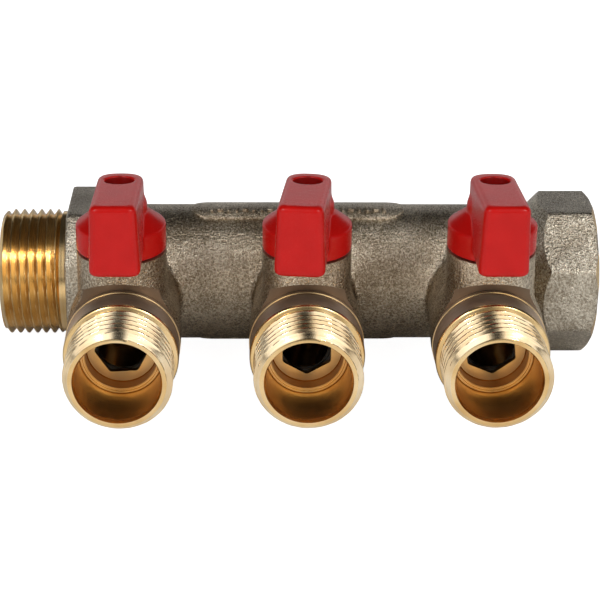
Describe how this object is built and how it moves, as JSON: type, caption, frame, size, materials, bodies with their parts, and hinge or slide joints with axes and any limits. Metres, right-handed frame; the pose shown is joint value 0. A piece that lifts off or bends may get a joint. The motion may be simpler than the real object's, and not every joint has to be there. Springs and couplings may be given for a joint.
{
  "type": "underfloor heating manifold",
  "caption": "Nickel-plated brass heating manifold: male-threaded end, octagonal female end, and male outlets each with a quarter-turn ball valve and red lever.",
  "frame": {"origin": "centre of the male end's face, on the main axis", "axes": "+X along the main axis towards the octagonal female end, outlets point to -Y, valve stems and levers to +Z"},
  "size_m": [0.124, 0.0682, 0.0505],
  "materials": {
    "nickel_brass": "nickel-plated, sand-cast texture; threads and machined faces bare brass",
    "handle_plastic": "moulded red plastic, semi-gloss",
    "screw_steel": "zinc-plated",
    "brass": "machined",
    "oring_rubber": "smooth",
    "ptfe": "smooth carbon-filled PTFE",
    "ball_chrome": "polished chrome plating"
  },
  "bodies": {
    "manifold": {"body": "nickel_brass", "thrust_washer_1": "ptfe", "inner_seat_1": "ptfe", "outer_seat_1": "ptfe", "seat_retainer_1": "brass", "thrust_washer_2": "ptfe", "inner_seat_2": "ptfe", "outer_seat_2": "ptfe", "seat_retainer_2": "brass", "thrust_washer_3": "ptfe", "inner_seat_3": "ptfe", "outer_seat_3": "ptfe", "seat_retainer_3": "brass"},
    "valve_1": {"handle_1": "handle_plastic", "handle_screw_1": "screw_steel", "stem_1": "brass", "stem_oring_lower_1": "oring_rubber", "stem_oring_upper_1": "oring_rubber", "ball_1": "ball_chrome"},
    "valve_2": {"handle_2": "handle_plastic", "handle_screw_2": "screw_steel", "stem_2": "brass", "stem_oring_lower_2": "oring_rubber", "stem_oring_upper_2": "oring_rubber", "ball_2": "ball_chrome"},
    "valve_3": {"handle_3": "handle_plastic", "handle_screw_3": "screw_steel", "stem_3": "brass", "stem_oring_lower_3": "oring_rubber", "stem_oring_upper_3": "oring_rubber", "ball_3": "ball_chrome"}
  },
  "joints": [
    {"name": "valve_turn_1", "type": "hinge", "parent": "manifold", "child": "valve_1", "pos_m": [0.027, -0.03, 0], "axis": [0, 0, -1], "range_deg": [0, 90]},
    {"name": "valve_turn_2", "type": "hinge", "parent": "manifold", "child": "valve_2", "pos_m": [0.063, -0.03, 0], "axis": [0, 0, -1], "range_deg": [-6, 84]},
    {"name": "valve_turn_3", "type": "hinge", "parent": "manifold", "child": "valve_3", "pos_m": [0.099, -0.03, 0], "axis": [0, 0, -1], "range_deg": [0, 90]}
  ]
}
